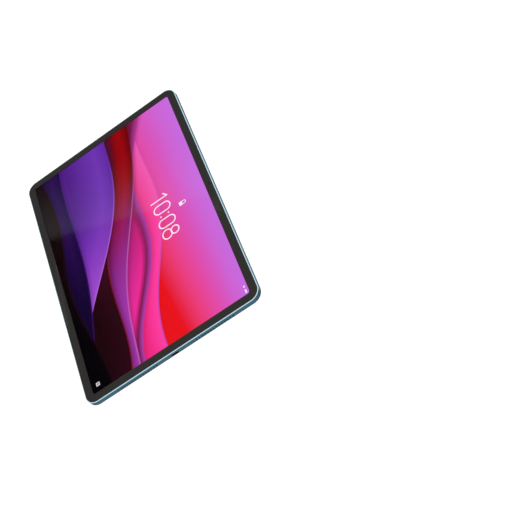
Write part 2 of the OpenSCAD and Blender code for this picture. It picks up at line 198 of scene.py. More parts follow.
def newFinish(name, **sockets):
    made = bpy.data.materials.new(name)
    made.use_nodes = True
    made.node_tree.nodes.clear()
    shader = made.node_tree.nodes.new("ShaderNodeBsdfPrincipled")
    end = made.node_tree.nodes.new("ShaderNodeOutputMaterial")
    made.node_tree.links.new(shader.outputs[0], end.inputs[0])
    for socket, value in sockets.items():
        shader.inputs[socket.replace("_", " ")].default_value = value
    place = Wire(made.node_tree).node("ShaderNodeTexCoord", out="Object")
    return made, shader, place


def feed(shader, **wires):
    for socket, wire in wires.items():
        wire.tree.links.new(wire.socket, shader.inputs[socket.replace("_", " ")])


def bumped(height, strength, distance):
    return height.node("ShaderNodeBump", {}, {"Strength": strength, "Distance": distance, "Height": height}, "Normal")


def parts(place):
    return place.node("ShaderNodeSeparateXYZ", {}, {0: place}, (0, 1, 2))


def awayFrom(place, spot):  # millimetres from a spot on the front or back
    x, _, z = parts(place)
    dx, dz = x - spot.x / 1000, z - (spot.y + midZ) / 1000
    return ((dx * dx + dz * dz) ** 0.5) * 1000


def stretched(place, stretch):
    return place.node("ShaderNodeMapping", {}, {"Vector": place, "Scale": stretch})


def facing(aim, direction):
    return aim.node("ShaderNodeVectorMath", {"operation": "DOT_PRODUCT"}, {0: aim, 1: direction}, "Value")


def makeStage():
    size, drop = stageLook["floorSize"], stageLook["floorDrop"]
    bpy.ops.object.select_all(action="DESELECT")
    bpy.ops.mesh.primitive_plane_add(size=size, location=(0, 0, -drop))
    floor = bpy.context.object
    floor.name = "studio_floor"
    floor.visible_glossy = False
    finish, shader, place = newFinish("floorPaper", Roughness=0.9)
    shade = noise(place, 3.0) * 0.01 + stageLook["floorShade"]
    feed(shader, Base_Color=shade.node("ShaderNodeCombineColor", {}, {0: shade, 1: shade, 2: shade}))
    shader.inputs["Emission Color"].default_value = (1, 1, 1, 1)
    shader.inputs["Emission Strength"].default_value = stageLook["floorGlow"]
    floor.data.materials.append(finish)

    # the room is white to the eye, and darker where the glass and the back mirror it; a bright side with a
    # straight edge shows in the front glass, and a tall card in the strip on the back
    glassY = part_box("cover_glass")[0].y
    low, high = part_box("cover_glass")
    eye = Vector(cameraView["place"])
    eye.y = 2 * glassY - eye.y
    upper = Vector((stageLook["sheenTop"], glassY, high.z)) - eye
    lower = Vector((stageLook["sheenBottom"], glassY, low.z)) - eye
    edge = upper.cross(lower).normalized()
    if edge.x > 0:
        edge.negate()
    world = bpy.data.worlds.new("studioRoom")
    bpy.context.scene.world = world
    world.use_nodes = True
    tree = world.node_tree
    tree.nodes.clear()
    start = Wire(tree)
    aim = start.node("ShaderNodeTexCoord", out="Generated")
    side = facing(aim, edge)
    ahead = facing(aim, ((upper + lower) / 2).normalized())
    seen = start.node("ShaderNodeLightPath", out="Is Camera Ray")
    front = soft(ahead, *stageLook["frontFrom"])
    sheen = soft(side, -0.0006, 0.0006) * soft(side, stageLook["sheenFade"], 0.0) * front
    rear = soft(facing(aim, (0.0, 1.0, 0.0)), *stageLook["rearFrom"])
    past = facing(aim, stageLook["stepFacing"]) - stageLook["stepAt"]
    dimmer = soft(past, -0.001, 0.001) * stageLook["cardStep"]
    card = soft(abs(facing(aim, stageLook["cardFacing"])), *stageLook["cardHalf"]) * rear * (1 - dimmer)
    mirrored = start.node("ShaderNodeLightPath", out="Is Glossy Ray")
    room = (stageLook["roomShade"] - front * stageLook["frontShade"] + sheen * stageLook["sheen"]
            + mirrored * (card * stageLook["card"] - rear * stageLook["rearShade"]))
    strength = room * (1 - seen) + seen
    room = strength.node("ShaderNodeBackground", {}, {"Color": (1, 1, 1, 1), "Strength": strength})
    tree.links.new(room.socket, tree.nodes.new("ShaderNodeOutputWorld").inputs[0])


lamps = {
    "overhead": {"place": (0.2, -0.5, 1.6), "size": (1.2, 0.9), "power": 4},
    "rear": {"place": (-0.9, 1.1, 1.1), "size": (0.9, 0.9), "power": 1.6},
}
lampAim = (0, 0, 0.1)


def makeLamp(name, place, size, power):
    lamp = bpy.data.lights.new(name, "AREA")
    lamp.shape, lamp.size, lamp.size_y, lamp.energy = "RECTANGLE", size[0], size[1], power
    made = bpy.data.objects.new(name, lamp)
    bpy.context.scene.collection.objects.link(made)
    made.location = place
    made.rotation_euler = (Vector(lampAim) - Vector(place)).to_track_quat("-Z", "Y").to_euler()
    made.visible_camera = False


makeStage()
for name, lamp in lamps.items():
    makeLamp(name, **lamp)
print("stage ready")


# modelling helpers

def letGo():
    if bpy.context.object and bpy.context.object.mode != "OBJECT":
        bpy.ops.object.mode_set(mode="OBJECT")
    bpy.ops.object.select_all(action="DESELECT")


def only(piece):
    letGo()
    bpy.context.view_layer.objects.active = piece
    piece.select_set(True)


def fixed(piece):
    only(piece)
    bpy.ops.object.transform_apply(location=True, rotation=True, scale=True)


def pick(test, kind="faces"):
    mesh = bmesh.from_edit_mesh(bpy.context.object.data)
    bpy.ops.mesh.select_all(action="DESELECT")
    for item in getattr(mesh, kind):
        if kind == "faces":
            item.select_set(test(item.calc_center_median(), item.normal))
        elif kind == "edges":
            item.select_set(test(*(v.co for v in item.verts)))
        else:
            item.select_set(test(item.co))
    bmesh.update_edit_mesh(bpy.context.object.data)


def step(inward, rise, face=1):  # the selected face goes inward by one and up by the other
    if inward:
        bpy.ops.mesh.inset(thickness=inward, depth=rise * face, use_even_offset=True)
    else:
        bpy.ops.mesh.extrude_region_move(TRANSFORM_OT_translate={"value": (0, 0, rise)})


def outline(name, width, height, corners, at=(0, 0), z=0.0, rounds=12):
    letGo()
    bpy.ops.mesh.primitive_plane_add(size=1, location=(at[0], at[1], z))
    piece = bpy.context.object
    piece.name = piece.data.name = name
    piece.scale = (width, height, 1)
    fixed(piece)
    bpy.ops.object.mode_set(mode="EDIT")
    top, bottom = corners if isinstance(corners, tuple) else (corners, corners)
    reach = min(width, height) / 2 - 0.0005
    bpy.context.tool_settings.mesh_select_mode = (True, False, False)
    pick(lambda p: p.y > at[1], "verts")
    bpy.ops.mesh.bevel(offset=min(top, reach), segments=rounds, affect="VERTICES")
    pick(lambda p: abs(p.x - at[0]) > width / 2 - 0.001 and p.y - at[1] < 0.001 - height / 2, "verts")
    bpy.ops.mesh.bevel(offset=min(bottom, reach), segments=rounds, affect="VERTICES")
    bpy.ops.mesh.select_all(action="SELECT")
    bpy.ops.mesh.remove_doubles(threshold=0.005)
    bpy.context.tool_settings.mesh_select_mode = (False, False, True)
    bpy.ops.mesh.select_all(action="SELECT")
    return piece


def disc(name, radius, at=(0, 0), z=0.0, sides=48):
    letGo()
    bpy.ops.mesh.primitive_circle_add(vertices=sides, radius=radius, fill_type="NGON", location=(at[0], at[1], z))
    piece = bpy.context.object
    piece.name = piece.data.name = name
    fixed(piece)
    bpy.ops.object.mode_set(mode="EDIT")
    bpy.context.tool_settings.mesh_select_mode = (False, False, True)
    bpy.ops.mesh.select_all(action="SELECT")
    return piece


def built(piece, steps):  # steps of (inward, up)
    for inward, rise in steps:
        step(inward, rise)
    bpy.ops.mesh.select_all(action="SELECT")
    bpy.ops.mesh.normals_make_consistent(inside=False)
    bpy.ops.object.mode_set(mode="OBJECT")
    return piece


def turned(name, rings, at=(0, 0), sides=72, closed=False):  # rings of (radius, height), one after another
    letGo()
    bpy.ops.mesh.primitive_circle_add(vertices=sides, radius=rings[0][0], location=(0, 0, rings[0][1]))
    piece = bpy.context.object
    piece.name = piece.data.name = name
    fixed(piece)
    bpy.ops.object.mode_set(mode="EDIT")
    bpy.context.tool_settings.mesh_select_mode = (False, True, False)
    bpy.ops.mesh.select_all(action="SELECT")
    if not closed:
        bpy.ops.mesh.edge_face_add()
    for (r0, z0), (r1, z1) in zip(rings, rings[1:]):
        bpy.ops.mesh.extrude_edges_move(TRANSFORM_OT_translate={"value": (0, 0, z1 - z0)})
        if r1 != r0:
            bpy.ops.transform.resize(value=(r1 / r0, r1 / r0, 1), center_override=(0, 0, 0))
    if not closed:
        bpy.ops.mesh.edge_face_add()
    bpy.ops.mesh.select_all(action="SELECT")
    bpy.ops.mesh.remove_doubles(threshold=0.0005)
    bpy.ops.mesh.normals_make_consistent(inside=False)
    bpy.ops.object.mode_set(mode="OBJECT")
    piece.location = (at[0], at[1], 0)
    fixed(piece)
    return piece


def moved(piece, matrix):
    piece.matrix_world = matrix
    fixed(piece)
    return piece


def copied(piece, matrix):
    made = piece.copy()
    made.data = piece.data.copy()
    bpy.context.scene.collection.objects.link(made)
    return moved(made, matrix)


def joined(name, pieces):
    letGo()
    for piece in pieces:
        piece.select_set(True)
    bpy.context.view_layer.objects.active = pieces[0]
    if len(pieces) > 1:
        bpy.ops.object.join()
    pieces[0].name = pieces[0].data.name = name
    return pieces[0]


def carved(piece, other, operation="DIFFERENCE"):
    only(piece)
    change = piece.modifiers.new("carve", "BOOLEAN")
    change.operation, change.object, change.solver = operation, other, "EXACT"
    bpy.ops.object.modifier_apply(modifier="carve")
    bpy.data.objects.remove(other)
    return piece


# a wall's own directions: x through the tablet's thickness, y along the wall, z out of it
sideZ = middleOf("usb_socket_shell").z
low, high = onBench("rear_housing")
outWays = {
    "left": (Vector((low.x, 0, sideZ)), Vector((0, 1, 0)), Vector((-1, 0, 0))),
    "right": (Vector((high.x, 0, sideZ)), Vector((0, 1, 0)), Vector((1, 0, 0))),
    "top": (Vector((0, high.y, sideZ)), Vector((1, 0, 0)), Vector((0, 1, 0))),
    "bottom": (Vector((0, low.y, sideZ)), Vector((1, 0, 0)), Vector((0, -1, 0))),
}


def wall(side, along, inwards=False):
    spot, run, out = outWays[side]
    out = -out if inwards else out
    turn = Matrix((run.cross(out), run, out)).transposed().to_4x4()
    return Matrix.Translation(spot + run * along) @ turn


def giveSlots(piece, finishes):
    if finishes:
        piece.data.materials.clear()
    for finish in finishes:
        piece.data.materials.append(finish)


smoothUnder = 30  # degrees


def standUp(piece, name, body, finishes, replaced):
    piece.name = piece.data.name = name
    giveSlots(piece, finishes)
    piece.scale = (0.001, 0.001, 0.001)
    piece.rotation_euler = (pi / 2, 0, 0)
    piece.location = (0, backY / 1000, midZ / 1000)
    fixed(piece)
    bpy.ops.object.shade_smooth_by_angle(angle=radians(smoothUnder), keep_sharp_edges=True)
    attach(piece, body)
    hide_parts(*replaced)
    letGo()


def painted(piece, test, index):  # faces that pass the test take that material slot
    for face in piece.data.polygons:
        if test(face.center, face.normal):
            face.material_index = index


# finishes

metalLook = {
    "colour": "#5B8597", "deep": "#517C90",
    "grain": 5200.0, "grainHeight": 0.000004, "cloud": 0.2,
    "rough": 0.36,
    "key": "#6B8C9C", "keyDeep": "#5D7D8F", "keyRough": 0.3,
    "inside": "#7C8A92", "insideDeep": "#6C7A83", "insideRough": 0.5,
    "rim": "#CFEFF8", "rimDeep": "#B4DCE8",
}


def satinMetal(name, colour, deep, rough):
    finish, shader, place = newFinish(name, Metallic=0.9)
    cloud = noise(place, 22.0, 2.0)
    grain = noise(place, metalLook["grain"], 2.0, 0.7)
    feed(shader, Base_Color=mixed(cloud * metalLook["cloud"] + grain * 0.8, deep, colour),
         Roughness=grain * 0.1 + noise(place, 60.0) * 0.05 + (rough - 0.075),
         Normal=bumped(grain, 0.35, metalLook["grainHeight"]))
    return finish


def polishedRim(name):
    finish, shader, place = newFinish(name, Metallic=1.0)
    lines = noise(stretched(place, (60.0, 9000.0, 60.0)), 1.0, 2.0)
    feed(shader, Base_Color=mixed(lines, metalLook["rimDeep"], metalLook["rim"]), Roughness=lines * 0.08 + 0.14,
         Normal=bumped(lines, 0.08, 0.000004))
    return finish


def plainPart(name, colours, scale=180.0, rough=(0.45, 0.65), metallic=0.0, height=0.00002, stretch=(1, 1, 1)):
    finish, shader, place = newFinish(name, Metallic=metallic)
    shifted = stretched(place, stretch)
    broad, fine = noise(shifted, scale, 3.0), noise(shifted, scale * 9, 2.0, 0.65)
    feed(shader, Base_Color=mixed(soft(broad * 0.6 + fine * 0.4, 0.35, 0.65), colours[0], colours[1]),
         Roughness=broad * (rough[1] - rough[0]) + rough[0], Normal=bumped(fine, 0.3, height))
    return finish


tealMetal = satinMetal("tealMetal", metalLook["colour"], metalLook["deep"], metalLook["rough"])
keyMetal = satinMetal("keyMetal", metalLook["key"], metalLook["keyDeep"], metalLook["keyRough"])
rimMetal = polishedRim("rimMetal")
insideMetal = satinMetal("insideMetal", metalLook["inside"], metalLook["insideDeep"], metalLook["insideRough"])
# painted shade: a near-black finish for the walls inside the holes, where shade falls
holeShadePaint = plainPart("holeShadePaint", ("#0E1418", "#182127"), 900.0, (0.5, 0.7))
blackPlastic = plainPart("blackPlastic", ("#0B0B0D", "#17171A"), 400.0, (0.4, 0.6))
print("finishes ready")


# rear housing

housingSize = {
    "corner": 11.0,
    "rounds": 20,  # facets round each corner
    "sideWall": 2.6,
    "backWall": 0.9,
    "backEdgeIn": 2.0, "backEdgeUp": 1.3,
    "backEdgeBreak": 25,  # degrees of the rounded edge left off, which leaves a crisp line round the back
    "rimChamferIn": 0.65, "rimChamferUp": 0.45, "rim": 0.75,
    "ledgeDrop": 0.2,
    "mouthBreak": 0.12,
    "stripBreak": (0.34, 0.24),  # polished edge of the recess round the strip, in and down
    "keyGap": 0.06,
    "holes": 15, "holePitch": 3.01, "holeD": 1.5, "grilleAlong": 41.3,
    "micAlong": (-40, 60), "micD": 0.8,
    "holeDeep": 2.4, "holesWithin": (128, 70),  # the holes' walls take painted shade, near black, this far in, and this far along
    "post": 2.0, "postBore": 0.55,
}
platePosts = [(-90, 89), (-68, 84), (26, 89), (108, 84), (-62, 35), (20, 35), (100, 35), (-118, -88), (118, -88)]
boardPosts = [(-58, 46), (-58, 80), (97, 46), (97, 80)]
low, high = onBench("rear_housing")
bodyWide, bodyHigh, rimTop = high.x - low.x, high.y - low.y, high.z
glassUnder = onBench("cover_glass")[0].z
stripLow, stripHigh = onBench("camera_strip")
stripWide, stripTall = stripHigh.x - stripLow.x, stripHigh.y - stripLow.y
stripMid = (stripLow.y + stripHigh.y) / 2
stripCorners = (8.5, 2.0)
ringSpots = {name: middleOf(name + "_ring") for name in ("flash", "main_camera", "second_camera")}


def slotCut(length, width, depth, lip):  # z into the wall, wider at the mouth
    return built(outline("cut", width + 2 * lip, length + 2 * lip, width, z=-1, rounds=10),
                 [(0, 1), (lip, lip), (0, depth - lip)])


def holeCut(diameter, depth, lip, sides=24):
    return built(disc("cut", diameter / 2 + lip, z=-1, sides=sides), [(0, 1), (lip, lip), (0, depth - lip)])


def makeHousing():
    size = housingSize
    rimUp = rimTop - size["rimChamferUp"]
    body = outline("housing", bodyWide, bodyHigh, size["corner"], z=size["backEdgeUp"], rounds=size["rounds"])
    for inward, rise in ((0, 0.15), (0, rimUp - size["backEdgeUp"] - 0.3), (0, 0.15),
                         (size["rimChamferIn"], size["rimChamferUp"]), (size["rim"] - size["rimChamferIn"], 0),
                         (0, glassUnder - size["ledgeDrop"] - rimTop), (size["sideWall"] - size["rim"], 0),
                         (0, size["backWall"] - glassUnder + size["ledgeDrop"])):
        step(inward, rise)
    pick(lambda middle, normal: normal.z < -0.9)
    first = radians(size["backEdgeBreak"])
    arc = [first + (pi / 2 - first) * i / 12 for i in range(12, -1, -1)]
    spots = [(size["backEdgeIn"] * (1 - (sin(a) - sin(first)) / (1 - sin(first))),
              size["backEdgeUp"] * (1 - cos(a) / cos(first))) for a in arc]
    for (in0, up0), (in1, up1) in zip(spots, spots[1:]):
        step(in1 - in0, up0 - up1)
    bpy.ops.mesh.select_all(action="SELECT")
    bpy.ops.mesh.normals_make_consistent(inside=False)
    letGo()
    bpy.ops.mesh.primitive_cube_add(size=1, location=(0, stripMid + 1, 1))
    floor = bpy.context.object
    floor.scale = (stripWide + 4, stripTall + 4, 0.4)
    fixed(floor)
    carved(body, floor, "UNION")
    midUnder = onBench("mid_plate")[0].z
    boardUnder = onBench("main_board")[0].z
    posts = []
    for places, top in ((platePosts, midUnder), (boardPosts, boardUnder)):
        for spot in places:
            posts.append(built(disc("post", size["post"], spot, z=0.7, sides=24),
                               [(0, top - 0.7), (size["post"] - size["postBore"], 0), (0, 1.5 - top)]))
    carved(body, joined("posts", posts), "UNION")

    gap, lip, depth = size["keyGap"], size["mouthBreak"], size["sideWall"] + 0.5
    across, down = size["stripBreak"]
    recess = outline("recess", stripWide + 0.2 + 2 * across, stripTall + 0.2 + 2 * across,
                     (stripCorners[0] + 0.1 + across, stripCorners[1] + 0.1 + across), (0, stripMid), -1)
    cuts = [built(recess, [(0, 1 - 0.02), (across, down), (0, 0.72 - down)])]
    for side, node in (("left", "power_button"), ("top", "volume_up_button"), ("top", "volume_down_button")):
        keyLow, keyHigh = onBench(node)
        along = (keyLow.y + keyHigh.y) / 2 if side == "left" else (keyLow.x + keyHigh.x) / 2
        length = (keyHigh.y - keyLow.y if side == "left" else keyHigh.x - keyLow.x) - 1.6
        cuts.append(moved(slotCut(length + 2 * gap, 2.2 + 2 * gap, depth, 0.08), wall(side, along, True)))
    hole = holeCut(size["holeD"], depth, lip, 20)
    for side in ("left", "right"):
        for grille in (-1, 1):
            for i in range(size["holes"]):
                along = grille * size["grilleAlong"] + (i - (size["holes"] - 1) / 2) * size["holePitch"]
                cuts.append(copied(hole, wall(side, along, True)))
    bpy.data.objects.remove(hole)
    mouthLow, mouthHigh = onBench("usb_socket_shell")
    cuts.append(moved(slotCut(mouthHigh.y - mouthLow.y + 0.04, mouthHigh.z - mouthLow.z + 0.04, depth, lip),
                      wall("right", 0, True)))
    dockLow, dockHigh = onBench("dock_carrier")
    cuts.append(moved(slotCut(dockHigh.x - dockLow.x + 0.1, dockHigh.z - dockLow.z + 0.1, depth, lip),
                      wall("bottom", 0, True)))
    for along in size["micAlong"]:
        cuts.append(moved(holeCut(size["micD"], depth, 0.08), wall("top", along, True)))
    carved(body, joined("cuts", cuts))
    lips = [built(disc("lip", 5.9, (spot.x, spot.y), z=0.3, sides=64), [(0, 2.2)]) for spot in ringSpots.values()]
    carved(body, joined("lips", lips))
    return body


def finishHousing(body):
    size = housingSize
    rimUp = rimTop - size["rimChamferUp"]
    flatX, flatY = bodyWide / 2 - size["backEdgeIn"], bodyHigh / 2 - size["backEdgeIn"]
    only(body)
    bpy.ops.object.mode_set(mode="EDIT")
    bpy.context.tool_settings.mesh_select_mode = (False, True, False)
    pick(lambda a, b: abs(a.z) < 0.001 and abs(b.z) < 0.001
         and (max(abs(a.x), abs(b.x)) > flatX - 3 or max(abs(a.y), abs(b.y)) > flatY - 3), "edges")
    bpy.ops.mesh.mark_sharp()
    bpy.ops.object.mode_set(mode="OBJECT")
    giveSlots(body, (tealMetal, rimMetal, insideMetal, holeShadePaint))
    painted(body, lambda c, n: c.z > rimUp + 0.01 and n.z > 0.4 and c.z > glassUnder + 0.05, 1)

    def fromOutline(c):  # how far inside the body's outline
        dx = max(abs(c.x) - bodyWide / 2 + size["corner"], 0)
        dy = max(abs(c.y) - bodyHigh / 2 + size["corner"], 0)
        return size["corner"] - (dx * dx + dy * dy) ** 0.5

    painted(body, lambda c, n: c.z > 0.71 and fromOutline(c) > size["rim"] - 0.1
            and not (c.z > rimUp and n.z > 0.4), 2)
    # the walls inside the side holes and slots get the painted shade
    wallX, wallY = bodyWide / 2 - size["mouthBreak"] - 0.02, bodyHigh / 2 - size["mouthBreak"] - 0.02
    painted(body, lambda c, n: wallX - size["holeDeep"] < abs(c.x) < wallX and abs(n.x) < 0.2
            and abs(c.y) < size["holesWithin"][1] and 1 < c.z < rimUp, 3)
    painted(body, lambda c, n: wallY - size["holeDeep"] < abs(c.y) < wallY and abs(n.y) < 0.2
            and abs(c.x) < size["holesWithin"][0] and 1 < c.z < rimUp, 3)
    painted(body, lambda c, n: abs(c.x) < stripWide / 2 + 0.7 and abs(c.y - stripMid) < stripTall / 2 + 0.7
            and c.z < size["stripBreak"][1] and -0.95 < n.z < -0.3, 1)
    standUp(body, "housing_shell", "tablet", [], ["rear_housing"])


finishHousing(makeHousing())
print("housing made")


# cover glass and gasket

glassSize = {
    "corner": 9.85, "rounds": 20,
    "edge": [(0.06, 0.14), (0.14, 0.06)],
    "ink": "#343230", "inkDeep": "#2D2C2A",
    "gloss": 0.0375,
    "gasket": 0.4,
}
screenSize = (0.13678, 0.08549, 0.0025)  # half the lit picture's width and height, and its corners, metres
frontEye = middleOf("front_camera_module") + Vector((0, 0.1, 0))


def roundedBox(across, up, halfAcross, halfUp, corner):  # distance outside a rounded rectangle, metres
    dx = larger(abs(across) - (halfAcross - corner), 0.0)
    dy = larger(abs(up) - (halfUp - corner), 0.0)
    return (dx * dx + dy * dy) ** 0.5 - corner


def makeGlass():
    size = glassSize
    low, high = onBench("cover_glass")
    wide, tall, thick = high.x - low.x, high.y - low.y, high.z - low.z
    glass = outline("glass", wide, tall, size["corner"], z=low.z, rounds=size["rounds"])
    built(glass, [(0, thick - 0.2)] + size["edge"])
    finish, shader, place = newFinish("coverGlass", IOR=1.5, Roughness=0.04)
    shader.inputs["Specular IOR Level"].default_value = size["gloss"]
    x, _, z = parts(place)
    border = soft(roundedBox(x, z - midZ / 1000, *screenSize), -0.00012, 0.00012)
    eye = soft(awayFrom(place, frontEye), 0.75, 0.9)
    cloud = noise(place, 900.0, 2.0)
    feed(shader, Base_Color=mixed(cloud, size["inkDeep"], size["ink"]), Alpha=smaller(border, eye),
         Roughness=noise(place, 35.0) * 0.02 + 0.03, Normal=bumped(noise(place, 120.0, 1.0), 0.01, 0.00001))
    standUp(glass, "front_glass", "tablet", [finish], ["cover_glass"])

    low, high = onBench("glass_gasket")
    seal = outline("gasket", wide + 2 * size["gasket"], tall + 2 * size["gasket"], size["corner"] + size["gasket"],
                   z=low.z, rounds=20)
    bpy.ops.mesh.inset(thickness=size["gasket"], depth=0)
    bpy.ops.mesh.delete(type="FACE")
    bpy.ops.mesh.select_all(action="SELECT")
    bpy.ops.mesh.extrude_region_move(TRANSFORM_OT_translate={"value": (0, 0, high.z - low.z)})
    bpy.ops.mesh.select_all(action="SELECT")
    bpy.ops.mesh.normals_make_consistent(inside=False)
    bpy.ops.object.mode_set(mode="OBJECT")
    standUp(seal, "glass_seal", "tablet", [blackPlastic], ["glass_gasket"])


makeGlass()
print("glass made")


# screen

# a made-up picture of waves, one over another; level, rise and length in millimetres, phase in turns
waveRows = [
    {"level": 26, "slope": -0.17, "rise": 9, "length": 230, "phase": 0.3,
     "reach": 40, "shadow": 0.06, "edge": "#B648B0",
     "left": [(0, "#F05CB4"), (0.5, "#E83C8C"), (1, "#D8305C")],
     "right": [(0, "#FF40A8"), (0.4, "#F02A84"), (1, "#E01E54")]},
    {"level": 12, "slope": -0.24, "rise": 8, "length": 190, "phase": 0.12,
     "reach": 26, "shadow": 0.18, "edge": "#A23EA8",
     "left": [(0, "#B23C98"), (0.35, "#7B1848"), (1, "#6A1030")],
     "right": [(0, "#B040A8"), (0.22, "#7A1850"), (0.45, "#EE2B96"), (1, "#C82A90")]},
    {"level": -2, "slope": -0.25, "rise": 7, "length": 260, "phase": 0.55,
     "reach": 26, "shadow": 0.25, "edge": "#C060B8",
     "left": [(0, "#640206"), (0.4, "#98040C"), (1, "#7A0410")],
     "right": [(0, "#A038A6"), (0.5, "#8A2C95"), (1, "#5A1A5E")]},
    {"level": -22, "slope": -0.2, "rise": 8, "length": 240, "phase": 0.7,
     "reach": 26, "shadow": 0.3, "edge": "#8A1838",
     "left": [(0, "#5A0A2C"), (0.4, "#5E0C2C"), (1, "#260510")],
     "right": [(0, "#2A0714"), (1, "#1E0308")]},
    {"level": -38, "slope": -0.33, "rise": 14, "length": 300, "phase": 0.42,
     "reach": 50, "shadow": 0.35, "edge": "#B765DC",
     "left": [(0, "#5E289E"), (0.3, "#6E34B0"), (1, "#501C86")],
     "right": [(0, "#A552D0"), (0.4, "#963FC9"), (1, "#6A2CB0")]},
    {"level": -62, "slope": -0.09, "rise": 5, "length": 280, "phase": 0.2,
     "reach": 24, "shadow": 0.3, "edge": "#34105E",
     "left": [(0, "#1C0640"), (0.4, "#2C0A50"), (1, "#1A0638")],
     "right": [(0, "#120430"), (1, "#0A0220")]},
    {"level": -74, "slope": 0.03, "rise": 6, "length": 220, "phase": 0.65,
     "reach": 16, "shadow": 0.3, "edge": "#1C0608",
     "left": [(0, "#180306"), (1, "#0A0202")],
     "right": [(0, "#050104"), (1, "#020002")]},
]
skyColours = [(0, "#C76ADD"), (0.15, "#CE62D2"), (0.3, "#D855BC"), (0.45, "#E14BA6"), (0.6, "#E8428D"),
              (0.72, "#EA3A74"), (0.8, "#E93360"), (0.9, "#E62545"), (1, "#E8121C")]
screenLook = {
    "gloss": 0.0375,
    "glow": 1.0,
    "digitHeight": (28.6, 46.8),
    "stroke": 0.62,
    "white": "#FDF4F8",
}


def makePicture(place):
    x, _, z = parts(place)
    x, up = x * 1000, z * 1000 - midZ

    def shades(value, reach, stops):
        return value.node("ShaderNodeValToRGB", {"stops": stops}, {0: value / reach})

    colour = shades((82 - up) * (x * 0.0024 + 1.25), 100, skyColours)
    for row in waveRows:
        turn = x * (2 * pi / row["length"]) + 2 * pi * row["phase"]
        depth = turn.maths("SINE") * row["rise"] + x * row["slope"] + row["level"] - up
        fill = mixed(soft(x, -80, 70), *(shades(depth, row["reach"], row[end]) for end in ("left", "right")))
        colour = mixed(soft(depth, -6, 0) * row["shadow"], colour, "#1E0414")
        colour = mixed(soft(depth, -0.3, 0.3), colour, fill)
        colour = mixed(soft(abs(depth - 0.5), 1.2, 0.3) * soft(x, -130, 10) * 0.75, colour, row["edge"])

    # clock, padlock and the small signs in the corners
    def stroke(x0, y0, x1, y1):
        run = Vector((x1 - x0, y1 - y0))
        span = run.length or 1
        along = smaller(larger(((x - x0) * run.x + (up - y0) * run.y) / span ** 2, 0.0), 1.0)
        dx, dy = x - x0 - along * run.x, up - y0 - along * run.y
        return (dx * dx + dy * dy) ** 0.5

    def drawn(distance, half):
        return soft(distance, half + 0.16, half - 0.16)

    bottom, top = screenLook["digitHeight"]
    half = screenLook["stroke"]
    marks = [drawn(abs(stroke(spot, bottom + 5, spot, top - 5) - 5), half) for spot in (-9.1, 9.4)]
    marks += [drawn(stroke(-20.4, bottom - 0.4, -20.4, top + 0.2), half),
              drawn(stroke(-20.4, top, -24.8, top - 3.2), half)]
    marks += [drawn(abs(stroke(23.1, top - 4.45, 23.5, top - 4.45) - 4.2), half),
              drawn(abs(stroke(22.9, bottom + 5, 23.7, bottom + 5) - 5), half)]
    marks += [drawn(stroke(0.2, level, 0.2, level), 0.85) for level in (bottom + 5, top - 4.6)]
    marks += [drawn(stroke(-1.6, 55.8, 1.6, 55.8), 0.9), drawn(stroke(-1.6, 57.6, 1.6, 57.6), 0.9),
              drawn(abs(stroke(0, 59.4, 0, 60.4) - 1.7), 0.4) * soft(up, 58.4, 58.8)]
    marks += [drawn(stroke(131.4, 82.4, 134.2, 82.4), 0.75),
              drawn(stroke(127.5, 81.0, 127.5, 81.0), 2.1) * soft(up - abs(x - 127.5), 80.9, 81.3) * 0.8]
    frameMark = larger(abs(x - 128.8), abs(up + 78.5))
    marks += [drawn(abs(frameMark - 1.5), 0.35), drawn(stroke(128.8, -78.5, 128.8, -78.5), 0.6)]
    ink = marks[0]
    for mark in marks[1:]:
        ink = larger(ink, mark)
    return mixed(ink * 0.96, colour, screenLook["white"])


def makeScreen():
    low, high = onBench("lcd_panel")
    panel = outline("panel", high.x - low.x, high.y - low.y, 2.5, z=low.z, rounds=8)
    built(panel, [(0, 0.45), (1.2, 0), (0, high.z - low.z - 0.47)])
    finish, shader, place = newFinish("litPanel", Roughness=0.035, IOR=1.5)
    shader.inputs["Specular IOR Level"].default_value = screenLook["gloss"]
    shader.inputs["Emission Strength"].default_value = screenLook["glow"]
    x, _, z = parts(place)
    inside = soft(roundedBox(x, z - midZ / 1000, *screenSize), 0.0001, -0.0001)
    weave = noise(place, 2600.0, 1.0)
    feed(shader, Emission_Color=mixed(inside, "#000000", makePicture(place)),
         Base_Color=mixed(weave, "#020203", "#040406"), Normal=bumped(weave, 0.01, 0.000002))
    standUp(panel, "lit_screen", "tablet", [finish], ["lcd_panel"])


makeScreen()
print("screen made")


# camera strip, rings and windows

stripLook = {
    "colour": "#7FA8BA", "deep": "#6C97AB",
    "bevel": 0.12,
    "sleeve": 7.05, "ring": 7.4, "proud": 0.45,
    "window": 6.55, "lip": 5.9,
    "lensClear": {"main_camera": 3.15, "second_camera": 2.7},
}


def glossyStrip():
    finish, shader, place = newFinish("stripGlass", Metallic=0.95, IOR=1.5)
    fine = noise(stretched(place, (12.0, 12.0, 2600.0)), 1.0, 3.0, 0.6)
    broad = noise(place, 14.0, 1.0)
    feed(shader, Base_Color=mixed(fine * 0.5 + broad * 0.5, stripLook["deep"], stripLook["colour"]),
         Roughness=fine * 0.02 + 0.03, Coat_Weight=broad * 0.06 + 0.94)
    shader.inputs["Coat Roughness"].default_value = 0.02
    return finish


def bareMetal(name, colours, rough, stretch=(1, 1, 1)):
    return plainPart(name, colours, 500.0, rough, 1.0, 0.000003, stretch)


ringMetal = bareMetal("ringMetal", ("#B9C6CC", "#DCE7EB"), (0.14, 0.22))
lensBlack = plainPart("lensBlack", ("#0A0808", "#141010"), 700.0, (0.3, 0.45), 0.0, 0.000004)


# lens colour from the middle out: a dark tint, with lighter brown rings that are a painted reflection of the inner
# glass
lensRingsAndGlint = [(0, "#1C0F22"), (0.22, "#2A1712"), (0.4, "#3B2218"), (0.55, "#15100F"), (0.72, "#201611"),
              (0.86, "#0A0808"), (1, "#050505")]


